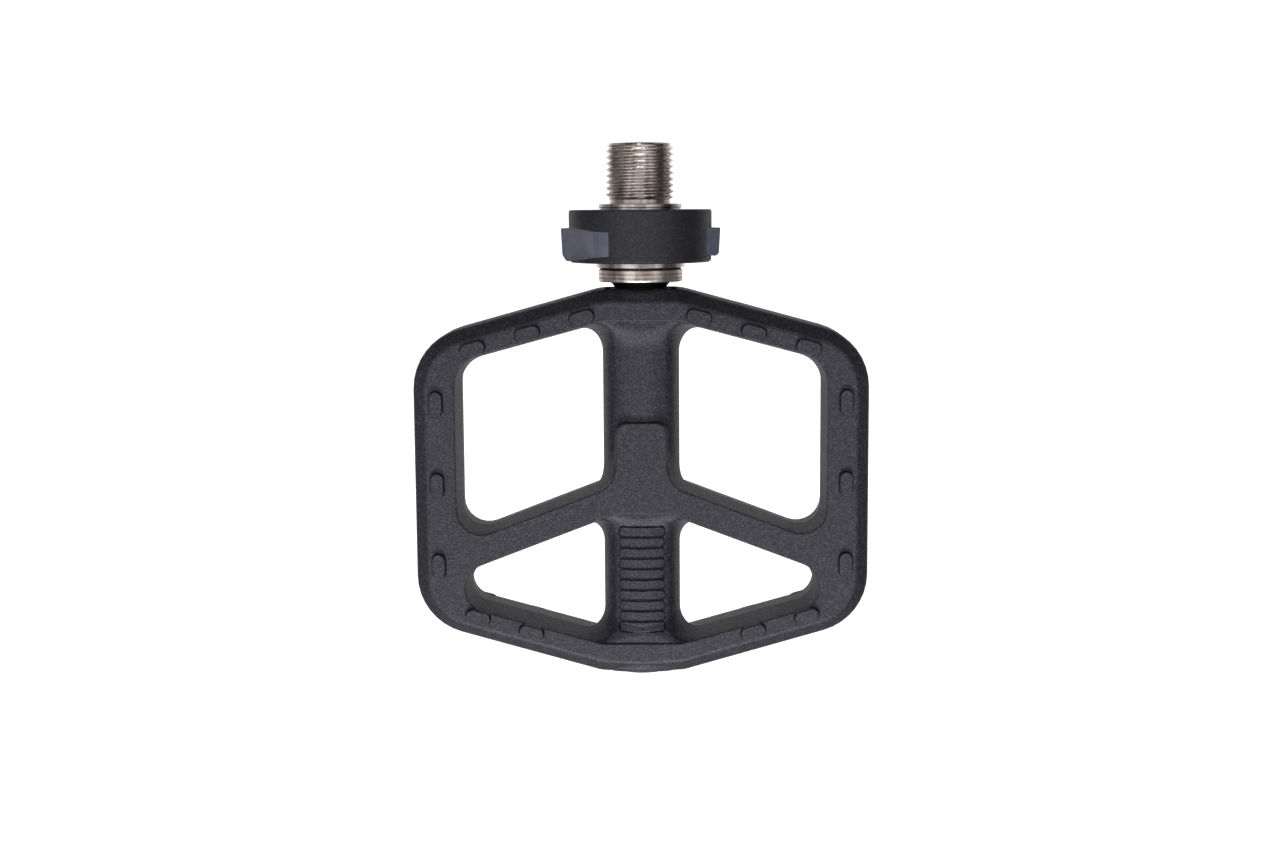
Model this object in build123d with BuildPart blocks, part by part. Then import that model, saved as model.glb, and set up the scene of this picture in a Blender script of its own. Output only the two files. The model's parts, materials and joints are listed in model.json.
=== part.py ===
"""Quick-release flat pedal: adapter, twist collar, spindle on bearings and a moulded platform.

Millimetres. The origin is on the spindle axis, on the adapter's seat face against the crank.
+Y points along the spindle towards the crank, +Z is up out of one tread face, +X completes the frame.
Every turned piece is drawn as (radius, y) and turned about the Y axis.
"""
from build123d import *
import math
import os

# ---- driving dimensions: adapter in the crank -------------------------------------------------
THREAD_RADIUS = 7.14          # 9/16 inch pedal thread, over the crests
THREAD_LENGTH = 12.5
THREAD_BEVEL = 0.8
SEAT_RADIUS = 8.75
SEAT_THICKNESS = 0.85
BARREL_RADIUS = 8.54          # the adapter's body, which the collar turns on
NUT_THREAD_RADIUS = 7.6
KEY_SOCKET_FLATS = 8.0
KEY_SOCKET_DEPTH = 5.5
MOUTH_Y = -13.3
SEAL_GROOVE = (-1.4, -2.6, 0.65)   # top, base and depth of the collar seal's groove
SEAL_SECTION = 0.36
NUT_RADIUS = 9.37
EDGE = 0.15                   # small broken edge on turned metal
FREE = 0.2                    # room left at the end of a bore or slot

# ---- driving dimensions: plug of the spindle --------------------------------------------------
PLUG_RADIUS = 4.5
PLUG_CLEARANCE = 0.05
PLUG_TIP_Y = 5.5
HEX_FLATS = 10.9
HEX_TOP_Y = -9.1
LOCK_Y = -7.1                 # plane of the lock groove and its wires
LOCK_GROOVE_RADIUS = 3.7
WIRE_RADIUS = 0.6
WIRE_SLOT_DEPTH = 2.3
WIRE_TAIL = (5.1, 8.9)        # x and z of the wires' bent tails, which follow the cam slots
WIRE_BENDS = (1.0, 0.9, 0.62)
PLUG_LEAD = (1.0, 1.2)        # radial and axial size of the bevel on the plug's tip

# ---- driving dimensions: twist collar ---------------------------------------------------------
COLLAR_RADIUS = 15.0
COLLAR_TOP_Y = -1.25
COLLAR_BASE_Y = -12.15
COVER_TOP_Y = -10.85          # joint line between shell and cover
COVER_FLOOR = 0.6
COVER_INSET = 0.08
COLLAR_WALL = 1.6
COLLAR_ROOF = 1.4
COLLAR_EDGE = 0.4
COLLAR_BORE = 8.64
GRIP_RING_INNER = 12.0
GRIP_RING_TOP_Y = -5.5
GRIP_RING_HEIGHT = 5.5
LUG_TIP_RADIUS = 16.85
LUG_START_ANGLE = 25.0        # angles about the spindle, from +Z towards -X
LUG_RIDGE_ANGLE = 38.4
LUG_TIP_ANGLE = 95.0
LUG_END_ANGLE = 113.0
LUG_TIP_FLAT = 2.0            # degrees of flat at the tip
# Top and base edges of the left lug seen from +Z, from its window to beyond its tip. The right lug's
# top is the same, turned about the spindle, and its base is shorter.
LUG_TOP = [(-5.6, -5.78), (-9.2, -5.62), (-13.6, -4.97), (-18.0, -5.1)]
LUG_BASE = [(-18.0, -8.6), (-16.0, -11.98), (-14.2, -11.9), (-11.6, -11.42), (-9.1, -10.92), (-5.6, -10.65)]
LUG_BASE_ROUNDS = [0, 0.9, 1.5, 1.5, 1.5, 0]
SHORT_LUG_BASE = [(-18.0, -8.6), (-16.2, -11.0), (-13.0, -10.45), (-5.6, -10.2)]
SHORT_LUG_BASE_ROUNDS = [0, 0.9, 1.5, 0]
LUG_BEND = 1.5                # round where the top edge turns
LUGS = [(0, LUG_BASE, LUG_BASE_ROUNDS), (180, SHORT_LUG_BASE, SHORT_LUG_BASE_ROUNDS)]
SCOOP_DEPTH = 0.4
SPRING_WIRE = 0.4
SPRING_COIL_RADIUS = 10.4
SPRING_PITCH = 0.9
SPRING_TURNS = 2.5
SPRING_BASE_Y = -5.75
CAM_THICKNESS = 1.7
CAM_TRAVEL = 26.0             # degrees
CAM_LIFT = 0.75               # how far the slots pull the wires outwards

# ---- driving dimensions: spindle and its bearings ---------------------------------------------
RING_RADIUS = 8.87
RING_TOP_Y = -13.7
RING_BASE_Y = -16.2
RING_MARKS = (-14.4, -15.25)  # tops of the two grooves turned in the ring
RING_MARK_DEPTH = 0.14
RING_LOW_EDGE = 0.35
SHAFT_RADIUS = 5.0
BUSH_RADIUS = 6.0
BUSH_TOP_Y = -19.6
BUSH_LENGTH = 14.0
SHAFT_TAPER_RADIUS = 3.9
BEARING_BORE_RADIUS = 3.0
BEARING_RADIUS = 6.5
BEARING_WIDTH = 5.0
BEARING_START_Y = -82.6
BALL_RADIUS = 1.0
BALL_COUNT = 8
BALL_CIRCLE = 4.75
BALL_CAGE_SIZE = (0.5, 2.6)   # wall and height of the ball cages
BEARING_INNER_OUTER = 4.15    # outside radius of the inner race
BEARING_OUTER_INNER = 5.35    # inside radius of the outer race
SHIELD_THICKNESS = 0.2
SHIELD_INSET = 0.3
BEARINGS = 2
STACK_BASE_Y = BEARING_START_Y - BEARINGS * BEARING_WIDTH
CIRCLIP_GROOVE_RADIUS = 7.0
LOCK_WASHER_RADIUS = 4.9
LOCK_WASHER_THICKNESS = 0.6
LOCK_NUT_FLATS = 8.0
LOCK_NUT_HEIGHT = 2.8
CIRCLIP_THICKNESS = 0.8
CIRCLIP_GAP = 3.2
SPINDLE_END_Y = -96.4

# ---- driving dimensions: platform (cage) ------------------------------------------------------
CAGE_HALF_WIDTH = 47.7
CAGE_TOP_Y = -17.56
CAGE_BOSS_Y = -99.2           # corner of the boss before its large round
CAGE_HALF_THICKNESS = 8.65
RIM_CORNERS = [(8.34, CAGE_TOP_Y), (CAGE_HALF_WIDTH, -28.39), (CAGE_HALF_WIDTH, -87.64), (8.81, -98.71)]
RIM_RADII = [14.0, 12.95, 12.75, 6.2]
BOSS_ROUND = 30.0
CHAMFER = 2.6
WALL_DRAFT = 4.5              # degrees, each way from the middle plane
SPINE_HALF_WIDTH = 8.1
SPINE_CROWN = 7.6
SPINE_CROWN_RADIUS = 12.0
SPINE_SHOULDER = 3.2
SPINE_SETBACK = 0.45          # from the boss corner to the spine's end
PAD_HALF_WIDTH = 5.26
PAD_TOP_Y = -45.35
UPPER_CORNERS = [(8.17, -24.21), (38.8, -32.47), (38.8, -71.19), (PAD_HALF_WIDTH, -58.4),
                 (PAD_HALF_WIDTH, PAD_TOP_Y)]
UPPER_RADII = [8.0, 6.75, 5.25, 6.0, 2.2]
LOWER_CORNERS = [(5.4, -64.53), (37.7, -76.84), (36.8, -84.35), (8.3, -92.33)]
LOWER_RADII = [7.0, 5.4, 4.85, 6.0]
INBOARD_BUMPS = [(12.16, -23.32), (23.45, -26.5), (34.8, -29.62)]
INBOARD_BUMP_ANGLE = -15.4
SIDE_BUMPS = [(42.7, -41.08), (42.7, -58.25), (42.7, -75.4)]
OUTBOARD_BUMPS = [(34.64, -86.37), (23.4, -89.7)]
OUTBOARD_BUMP_ANGLE = 15.8
BUMP_LENGTH = 5.6
BUMP_WIDTH = 3.1
BUMP_HEIGHT = 1.0
BUMP_DRAFT = 14.0
RIB_COUNT = 10
RIB_FIRST_Y = -67.54
RIB_PITCH = 2.26
RIB_GAP = 0.45
RIB_HALF_WIDTH = 4.66
RIB_HEIGHT = 0.35
RIB_CORNER = 0.6
MOUTH_RADIUS = 6.5            # seat of the dust seal
BORE_CLEARANCE_RADIUS = 5.4
CAP_SEAT_Y = -96.9
CAP_SEAT_RADIUS = 6.8
CAP_BASE_Y = -99.2
CAP_SOCKET_FLATS = 6.0
CAP_SOCKET_DEPTH = 1.2
GAP = 0.05                    # running clearance left between pieces that turn
PRESS_GAP = 0.02              # clearance drawn between pieces that are pressed or screwed together


def save(piece, label):
    """Label a finished piece and write it to its own file."""
    piece.part.label = label
    export_step(piece.part, f"parts/{label}.step")


def outline_face(outline):
    """Face inside a closed (radius, y) outline, ready to be turned about the spindle axis."""
    with BuildSketch(Plane.XY) as section:
        with BuildLine():
            Polyline(*outline, close=True)
        make_face()
    return section.sketch


def ring_face(inner, outer, top, base):
    """Rectangular section of a plain ring between two heights."""
    return outline_face([(inner, top), (outer, top), (outer, base), (inner, base)])


def save_ring(label, inner, outer, top, base):
    """Make and write a plain turned ring."""
    with BuildPart() as piece:
        revolve(ring_face(inner, outer, top, base), axis=Axis.Y)
    save(piece, label)


def across(y):
    """Plane square to the spindle at height y, with its normal towards the crank."""
    return Plane(origin=(0, y, 0), x_dir=(1, 0, 0), z_dir=(0, 1, 0))


def polar(radius, angle):
    """(x, z) of a point at an angle about the spindle, from +Z towards -X."""
    return (-radius * math.sin(math.radians(angle)), radius * math.cos(math.radians(angle)))


# ---- adapter ----------------------------------------------------------------------------------
def adapter_body():
    """Threaded body that stays in the crank: seat flange, plug bore, hexagonal mouth, wire slots."""
    bore = PLUG_RADIUS + PLUG_CLEARANCE
    groove_top, groove_base, groove_depth = SEAL_GROOVE
    groove_floor = BARREL_RADIUS - groove_depth
    nut_shoulder = COLLAR_BASE_Y - GAP
    section = outline_face([
        (0, THREAD_LENGTH), (THREAD_RADIUS - THREAD_BEVEL, THREAD_LENGTH),
        (THREAD_RADIUS, THREAD_LENGTH - THREAD_BEVEL), (THREAD_RADIUS, 0),
        (SEAT_RADIUS - EDGE, 0), (SEAT_RADIUS, -EDGE), (SEAT_RADIUS, EDGE - SEAT_THICKNESS),
        (SEAT_RADIUS - EDGE, -SEAT_THICKNESS), (BARREL_RADIUS, -SEAT_THICKNESS),
        (BARREL_RADIUS, groove_top), (groove_floor, groove_top),
        (groove_floor, groove_base), (BARREL_RADIUS, groove_base),
        (BARREL_RADIUS, nut_shoulder), (NUT_THREAD_RADIUS, nut_shoulder),
        (NUT_THREAD_RADIUS, MOUTH_Y), (0, MOUTH_Y),
    ])
    with BuildPart() as body:
        revolve(section, axis=Axis.Y)
        with BuildSketch(across(THREAD_LENGTH)):
            RegularPolygon(KEY_SOCKET_FLATS / 2, 6, major_radius=False)
        extrude(amount=-KEY_SOCKET_DEPTH, mode=Mode.SUBTRACT)
        with BuildSketch(across(MOUTH_Y)):
            RegularPolygon(HEX_FLATS / 2 + PLUG_CLEARANCE, 6, major_radius=False)
        extrude(amount=HEX_TOP_Y + FREE - MOUTH_Y, mode=Mode.SUBTRACT)
        with BuildSketch(across(HEX_TOP_Y)):
            Circle(bore)
        extrude(amount=PLUG_TIP_Y + FREE - HEX_TOP_Y, mode=Mode.SUBTRACT)
        slot_centre = LOCK_GROOVE_RADIUS - GAP + WIRE_SLOT_DEPTH / 2
        with Locations((slot_centre, LOCK_Y, 0), (-slot_centre, LOCK_Y, 0)):
            Box(WIRE_SLOT_DEPTH, 2 * WIRE_RADIUS + FREE, 2 * SEAT_RADIUS, mode=Mode.SUBTRACT)
    save(body, "adapter_body")


def retainer_nut():
    """Steel ring screwed on the adapter's end, which keeps the collar on."""
    top = COLLAR_BASE_Y - GAP
    section = outline_face([
        (NUT_THREAD_RADIUS, top), (NUT_RADIUS - EDGE, top), (NUT_RADIUS, top - EDGE),
        (NUT_RADIUS, MOUTH_Y + EDGE), (NUT_RADIUS - EDGE, MOUTH_Y), (NUT_THREAD_RADIUS, MOUTH_Y),
    ])
    with BuildPart() as nut:
        revolve(section, axis=Axis.Y)
    save(nut, "retainer_nut")


def collar_seal():
    """O-ring in the adapter's groove, just inside the collar's roof."""
    groove_top, groove_base, groove_depth = SEAL_GROOVE
    centre = BARREL_RADIUS - groove_depth + SEAL_SECTION
    with BuildPart() as seal:
        with BuildSketch(Plane.XY):
            with Locations((centre, (groove_top + groove_base) / 2)):
                Circle(SEAL_SECTION)
        revolve(axis=Axis.Y)
    save(seal, "collar_seal")


def lock_wires():
    """Two bent spring wires whose straight legs cross the bore and hold the plug by its groove."""
    leg_x = LOCK_GROOVE_RADIUS + WIRE_RADIUS + GAP
    tail_x, tail_z = WIRE_TAIL
    tail_drop = 1.9
    crossing = (0.9, 9.6)
    leg_reach = (8.7, -7.6)
    route = [(crossing[0], LOCK_Y, crossing[1]), (leg_x, LOCK_Y, leg_reach[0]),
             (leg_x, LOCK_Y, leg_reach[1]), (tail_x, LOCK_Y, -tail_z), (tail_x, LOCK_Y - tail_drop, -tail_z)]
    with BuildPart() as wires:
        with BuildLine() as path:
            FilletPolyline(*route, radius=WIRE_BENDS)
        with BuildSketch(Plane(origin=path.line @ 0, z_dir=path.line % 0)):
            Circle(WIRE_RADIUS)
        sweep()
        with Locations(Rotation(0, 180, 0)):
            add(wires.part)
    save(wires, "lock_wires")


def return_spring():
    """Torsion coil that turns the collar back to locked."""
    with BuildPart() as spring:
        with BuildLine() as path:
            Helix(pitch=SPRING_PITCH, height=SPRING_TURNS * SPRING_PITCH, radius=SPRING_COIL_RADIUS)
        with BuildSketch(Plane(origin=path.line @ 0, z_dir=path.line % 0)):
            Circle(SPRING_WIRE)
        sweep()
    with BuildPart() as placed:
        with Locations(Location((0, SPRING_BASE_Y, 0), (-90, 0, 0))):
            add(spring.part)
    save(placed, "return_spring")


# ---- twist collar -----------------------------------------------------------------------------
def lug_side_outline(base, rounds, margin):
    """Outline of a lug seen from +Z when it points to -X, grown by a margin above and below."""
    top = [(x, y + margin) for x, y in LUG_TOP]
    lowered = [(x, y - margin) for x, y in base]
    with BuildLine() as line:
        FilletPolyline(*top, *lowered, radius=[0, LUG_BEND, LUG_BEND, 0, *rounds], close=True)
    return line


def lug_window(base, rounds, margin):
    """Solid that fills a lug's window: a sector of the collar wall, as tall as the lug."""
    reach = 19.0
    outer_reach = 27.0
    start = LUG_START_ANGLE - math.degrees(margin / COLLAR_RADIUS)
    end = LUG_END_ANGLE + math.degrees(margin / COLLAR_RADIUS)
    middle = (start + end) / 2
    with BuildPart() as window:
        with BuildSketch(across(0)):
            with BuildLine():
                Polyline((0, 0), polar_on_plane(reach, start), polar_on_plane(outer_reach, middle),
                         polar_on_plane(reach, end), close=True)
            make_face()
            Circle(GRIP_RING_INNER, mode=Mode.SUBTRACT)
        extrude(amount=-COLLAR_RADIUS)
        with BuildSketch(Plane.XY):
            add(lug_side_outline(base, rounds, margin).line)
            make_face()
        extrude(amount=2 * COLLAR_RADIUS, both=True, mode=Mode.INTERSECT)
    return window


def lug_windows(margin):
    """The windows of both lugs."""
    solids = [(turn, lug_window(base, rounds, margin).part) for turn, base, rounds in LUGS]
    with BuildPart() as windows:
        for turn, solid in solids:
            with Locations(Rotation(0, turn, 0)):
                add(solid)
    return windows


def polar_on_plane(radius, angle):
    """Sketch coordinates of a polar point on a plane made by across()."""
    x, z = polar(radius, angle)
    return (x, -z)


def collar_shell():
    """Outer shell of the collar: roof, wall and the two windows for the lugs."""
    roof = COLLAR_TOP_Y - COLLAR_ROOF
    cavity = COLLAR_RADIUS - COLLAR_WALL
    round_middle = 0.3 * COLLAR_EDGE
    section = outline_face([
        (COLLAR_BORE, COLLAR_TOP_Y), (COLLAR_RADIUS - COLLAR_EDGE, COLLAR_TOP_Y),
        (COLLAR_RADIUS - round_middle, COLLAR_TOP_Y - round_middle),
        (COLLAR_RADIUS, COLLAR_TOP_Y - COLLAR_EDGE), (COLLAR_RADIUS, COVER_TOP_Y + EDGE),
        (COLLAR_RADIUS - EDGE, COVER_TOP_Y), (cavity, COVER_TOP_Y), (cavity, roof), (COLLAR_BORE, roof),
    ])
    windows = lug_windows(GAP)
    with BuildPart() as shell:
        revolve(section, axis=Axis.Y)
        add(windows.part, mode=Mode.SUBTRACT)
    save(shell, "collar_shell")


def collar_cover():
    """Dished ring that closes the collar from below, notched under the lugs."""
    floor = COLLAR_BASE_Y + COVER_FLOOR
    cavity = COLLAR_RADIUS - COLLAR_WALL
    outer = COLLAR_RADIUS - COVER_INSET
    section = outline_face([
        (COLLAR_BORE, floor), (cavity, floor), (cavity, COVER_TOP_Y), (outer, COVER_TOP_Y),
        (outer, COLLAR_BASE_Y + COLLAR_EDGE), (outer - COLLAR_EDGE, COLLAR_BASE_Y),
        (COLLAR_BORE, COLLAR_BASE_Y),
    ])
    windows = lug_windows(GAP)
    with BuildPart() as cover:
        revolve(section, axis=Axis.Y)
        add(windows.part, mode=Mode.SUBTRACT)
    save(cover, "collar_cover")


def grip_ring():
    """Inner ring with two finger lugs that come out through the shell's windows."""
    cavity = COLLAR_RADIUS - COLLAR_WALL - GAP
    ridge = polar_on_plane(COLLAR_RADIUS, LUG_RIDGE_ANGLE)
    tip = polar_on_plane(LUG_TIP_RADIUS, LUG_TIP_ANGLE)
    tip_edge = polar_on_plane(LUG_TIP_RADIUS, LUG_TIP_ANGLE + LUG_TIP_FLAT)
    base = polar_on_plane(COLLAR_RADIUS, LUG_END_ANGLE)
    start = polar_on_plane(COLLAR_RADIUS, LUG_START_ANGLE)
    start_inner = polar_on_plane(GRIP_RING_INNER, LUG_START_ANGLE)
    base_inner = polar_on_plane(GRIP_RING_INNER, LUG_END_ANGLE)
    chord_middle = ((ridge[0] + tip[0]) / 2, (ridge[1] + tip[1]) / 2)
    chord = math.dist(ridge, tip)
    inward = ((tip[1] - ridge[1]) / chord, (ridge[0] - tip[0]) / chord)
    sign = -1 if inward[0] * chord_middle[0] + inward[1] * chord_middle[1] > 0 else 1
    scoop = (chord_middle[0] + sign * SCOOP_DEPTH * inward[0],
             chord_middle[1] + sign * SCOOP_DEPTH * inward[1])
    start_middle = polar_on_plane(COLLAR_RADIUS, (LUG_START_ANGLE + LUG_RIDGE_ANGLE) / 2)
    inner_middle = polar_on_plane(GRIP_RING_INNER, (LUG_START_ANGLE + LUG_END_ANGLE) / 2)
    windows = lug_windows(0)
    with BuildPart() as lug:
        with BuildSketch(across(0)):
            with BuildLine():
                Line(start_inner, start)
                ThreePointArc(start, start_middle, ridge)
                ThreePointArc(ridge, scoop, tip)
                Line(tip, tip_edge)
                Line(tip_edge, base)
                Line(base, base_inner)
                ThreePointArc(base_inner, inner_middle, start_inner)
            make_face()
        extrude(amount=-COLLAR_RADIUS)
    with BuildPart() as lugs:
        with Locations(Location((0, 0, 0)), Rotation(0, 180, 0)):
            add(lug.part)
        add(windows.part, mode=Mode.INTERSECT)
    with BuildPart() as grip:
        with BuildSketch(across(GRIP_RING_TOP_Y)):
            Circle(cavity)
            Circle(GRIP_RING_INNER, mode=Mode.SUBTRACT)
        extrude(amount=-GRIP_RING_HEIGHT)
        add(lugs.part)
    save(grip, "grip_ring")


def cam_ring():
    """Steel ring under the wires: two slanted slots pull the wires' bent ends outwards."""
    wire_room = 0.45
    top = LOCK_Y - WIRE_RADIUS - wire_room
    tip_radius = math.hypot(*WIRE_TAIL)
    tip_angle = 180 + math.degrees(math.atan2(*WIRE_TAIL))
    near = polar_on_plane(tip_radius, tip_angle)
    far = polar_on_plane(tip_radius + CAM_LIFT, tip_angle - CAM_TRAVEL)
    with BuildPart() as cam:
        with BuildSketch(across(top)):
            Circle(GRIP_RING_INNER - GAP)
            Circle(COLLAR_BORE + 2 * GAP, mode=Mode.SUBTRACT)
            with Locations(Location((0, 0)), Location((0, 0), 180)):
                slot_between(near, far, 2 * WIRE_RADIUS + FREE)
        extrude(amount=-CAM_THICKNESS)
    save(cam, "cam_ring")


def slot_between(near, far, width):
    """Cut a round-ended slot between two centres in the sketch being built."""
    middle = ((near[0] + far[0]) / 2, (near[1] + far[1]) / 2)
    angle = math.degrees(math.atan2(far[1] - near[1], far[0] - near[0]))
    with Locations(Location(middle, angle)):
        SlotCenterToCenter(math.dist(near, far), width, mode=Mode.SUBTRACT)


# ---- spindle ----------------------------------------------------------------------------------
def spindle():
    """Steel spindle: plug with lock groove and hexagon, steel ring, tapered shaft and thread."""
    groove = WIRE_RADIUS + 2 * GAP
    mark = RING_MARK_DEPTH
    upper_groove_y, lower_groove_y = RING_MARKS
    hex_corner = HEX_FLATS / math.sqrt(3)
    lead_in, lead_height = PLUG_LEAD
    neck_y = BUSH_TOP_Y - BUSH_LENGTH - 1.0
    shoulder_y = BEARING_START_Y + 4.0
    low_middle = 0.3 * RING_LOW_EDGE
    section = outline_face([
        (0, PLUG_TIP_Y), (PLUG_RADIUS - lead_in, PLUG_TIP_Y), (PLUG_RADIUS, PLUG_TIP_Y - lead_height),
        (PLUG_RADIUS, LOCK_Y + groove), (LOCK_GROOVE_RADIUS, LOCK_Y + groove),
        (LOCK_GROOVE_RADIUS, LOCK_Y - groove), (PLUG_RADIUS, LOCK_Y - groove),
        (PLUG_RADIUS, HEX_TOP_Y), (hex_corner, HEX_TOP_Y), (hex_corner, RING_TOP_Y),
        (RING_RADIUS - EDGE, RING_TOP_Y), (RING_RADIUS, RING_TOP_Y - EDGE),
        (RING_RADIUS, upper_groove_y), (RING_RADIUS - mark, upper_groove_y - mark),
        (RING_RADIUS, upper_groove_y - 2 * mark), (RING_RADIUS, lower_groove_y),
        (RING_RADIUS - mark, lower_groove_y - mark), (RING_RADIUS, lower_groove_y - 2 * mark),
        (RING_RADIUS, RING_BASE_Y + RING_LOW_EDGE), (RING_RADIUS - low_middle, RING_BASE_Y + low_middle),
        (RING_RADIUS - RING_LOW_EDGE, RING_BASE_Y), (SHAFT_RADIUS, RING_BASE_Y),
        (SHAFT_RADIUS, neck_y), (SHAFT_TAPER_RADIUS, shoulder_y),
        (SHAFT_TAPER_RADIUS, BEARING_START_Y), (BEARING_BORE_RADIUS, BEARING_START_Y),
        (BEARING_BORE_RADIUS, SPINDLE_END_Y + EDGE), (BEARING_BORE_RADIUS - EDGE, SPINDLE_END_Y),
        (0, SPINDLE_END_Y),
    ])
    with BuildPart() as shaft:
        revolve(section, axis=Axis.Y)
        with BuildSketch(across(HEX_TOP_Y)):
            Circle(hex_corner + 1)
            RegularPolygon(HEX_FLATS / 2, 6, major_radius=False, mode=Mode.SUBTRACT)
        extrude(amount=RING_TOP_Y - HEX_TOP_Y, mode=Mode.SUBTRACT)
    save(shaft, "spindle")


def mouth_seal():
    """Thin rubber washer between the adapter's mouth and the spindle's steel ring."""
    inner = HEX_FLATS / math.sqrt(3) + PRESS_GAP
    save_ring("mouth_seal", inner, BARREL_RADIUS, MOUTH_Y - PRESS_GAP, RING_TOP_Y + PRESS_GAP)


def bearing(index):
    """One deep-groove cartridge bearing on the spindle: races, balls, their cage and two shields."""
    top = BEARING_START_Y - index * BEARING_WIDTH
    base = top - BEARING_WIDTH
    middle = (top + base) / 2
    ball_room = 0.03
    name = ("inner", "outer")[index]
    shim = PRESS_GAP / 2

    races = {
        "inner_race": ring_face(BEARING_BORE_RADIUS + shim, BEARING_INNER_OUTER, top - shim, base + shim),
        "outer_race": ring_face(BEARING_OUTER_INNER, BEARING_RADIUS - shim, top - shim, base + shim),
    }
    for kind, section in races.items():
        with BuildPart() as race:
            revolve(section, axis=Axis.Y)
            with BuildSketch(Plane.XY):
                with Locations((BALL_CIRCLE, middle)):
                    Circle(BALL_RADIUS + ball_room)
            revolve(axis=Axis.Y, mode=Mode.SUBTRACT)
        save(race, f"{name}_bearing_{kind}")

    spots = [(BALL_CIRCLE * math.cos(turn), middle, BALL_CIRCLE * math.sin(turn))
             for turn in (2 * math.pi * i / BALL_COUNT for i in range(BALL_COUNT))]
    with BuildPart() as balls:
        with Locations(*spots):
            Sphere(BALL_RADIUS)
    save(balls, f"{name}_bearing_balls")

    wall, height = BALL_CAGE_SIZE
    band = ring_face(BALL_CIRCLE - wall / 2, BALL_CIRCLE + wall / 2, middle + height / 2, middle - height / 2)
    with BuildPart() as ball_cage:
        revolve(band, axis=Axis.Y)
        pocket_turns = [360.0 * i / BALL_COUNT for i in range(BALL_COUNT // 2)]
        with Locations(*[Location((0, middle, 0), (0, turn, 0)) for turn in pocket_turns]):
            Cylinder(BALL_RADIUS + GAP, 2 * BEARING_RADIUS, rotation=(0, 90, 0), mode=Mode.SUBTRACT)
    save(ball_cage, f"{name}_bearing_ball_cage")

    with BuildPart() as shields:
        for face in (top - SHIELD_INSET, base + SHIELD_INSET + SHIELD_THICKNESS):
            with BuildSketch(across(face)):
                Circle(BEARING_OUTER_INNER - shim)
                Circle(BEARING_INNER_OUTER + GAP, mode=Mode.SUBTRACT)
            extrude(amount=-SHIELD_THICKNESS)
    save(shields, f"{name}_bearing_shields")


def lock_hardware():
    """Washer and hexagonal nut that clamp the inner races on the spindle, and the outer circlip."""
    washer_base = STACK_BASE_Y - LOCK_WASHER_THICKNESS
    bore = BEARING_BORE_RADIUS + PRESS_GAP
    save_ring("lock_washer", bore, LOCK_WASHER_RADIUS, STACK_BASE_Y - PRESS_GAP, washer_base)

    with BuildPart() as nut:
        with BuildSketch(across(washer_base - PRESS_GAP)):
            RegularPolygon(LOCK_NUT_FLATS / 2, 6, major_radius=False)
            Circle(bore, mode=Mode.SUBTRACT)
        extrude(amount=-LOCK_NUT_HEIGHT)
    save(nut, "lock_nut")

    circlip_width = 1.4
    with BuildPart() as circlip:
        with BuildSketch(across(STACK_BASE_Y - PRESS_GAP)):
            Circle(CIRCLIP_GROOVE_RADIUS - GAP)
            Circle(CIRCLIP_GROOVE_RADIUS - GAP - circlip_width, mode=Mode.SUBTRACT)
            with Locations((0, -BEARING_RADIUS)):
                Rectangle(CIRCLIP_GAP, 2 * circlip_width, mode=Mode.SUBTRACT)
        extrude(amount=-CIRCLIP_THICKNESS)
    save(circlip, "bearing_circlip")


# ---- platform ---------------------------------------------------------------------------------
def symmetric_outline(half, radii, tip=None, tip_radius=0):
    """Closed outline from its right half, mirrored in X, with each corner rounded."""
    left = [(-x, y) for x, y in reversed(half)]
    middle, middle_radius = ([tip], [tip_radius]) if tip else ([], [])
    with BuildLine() as line:
        FilletPolyline(*half, *middle, *left, radius=radii + middle_radius + radii[::-1], close=True)
    return line


def spine_section():
    """Half-turned section of the spine across the spindle: crowned faces and round shoulders."""
    crown_centre = SPINE_CROWN_RADIUS - SPINE_CROWN
    with BuildSketch(across(0)) as section:
        with Locations((0, crown_centre)):
            Circle(SPINE_CROWN_RADIUS)
        with Locations((0, -crown_centre)):
            Circle(SPINE_CROWN_RADIUS, mode=Mode.INTERSECT)
        Rectangle(2 * SPINE_HALF_WIDTH, 4 * SPINE_CROWN, mode=Mode.INTERSECT)
        fillet(section.vertices(), SPINE_SHOULDER)
    return section


def ribs():
    """Cross bars on the outboard half of the spine, following its crown on both faces."""
    crown_radius = SPINE_CROWN_RADIUS + RIB_HEIGHT
    crown_centre = SPINE_CROWN_RADIUS - SPINE_CROWN
    length = RIB_PITCH - RIB_GAP
    places = [(0, RIB_FIRST_Y - length / 2 - i * RIB_PITCH) for i in range(RIB_COUNT)]
    with BuildPart() as bars:
        with BuildSketch(Plane.XY):
            with Locations(*places):
                RectangleRounded(2 * RIB_HALF_WIDTH, length, RIB_CORNER)
        extrude(amount=CAGE_HALF_THICKNESS, both=True)
        with BuildSketch(across(CAGE_TOP_Y)):
            with Locations((0, crown_centre)):
                Circle(crown_radius)
            with Locations((0, -crown_centre)):
                Circle(crown_radius, mode=Mode.INTERSECT)
        extrude(amount=2 * CAGE_BOSS_Y, mode=Mode.INTERSECT)
    return bars


def bump_places():
    """Centre and angle of every grip bump on the right half of a face."""
    rows = [(INBOARD_BUMPS, INBOARD_BUMP_ANGLE), (SIDE_BUMPS, 90.0), (OUTBOARD_BUMPS, OUTBOARD_BUMP_ANGLE)]
    return [(x, y, angle) for row, angle in rows for x, y in row]


def bumps_sketch():
    """All the grip bumps of one face, in the sketch being built."""
    for x, y, angle in bump_places():
        with Locations(Location((x, y), angle), Location((-x, y), -angle)):
            SlotOverall(BUMP_LENGTH, BUMP_WIDTH)


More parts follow.
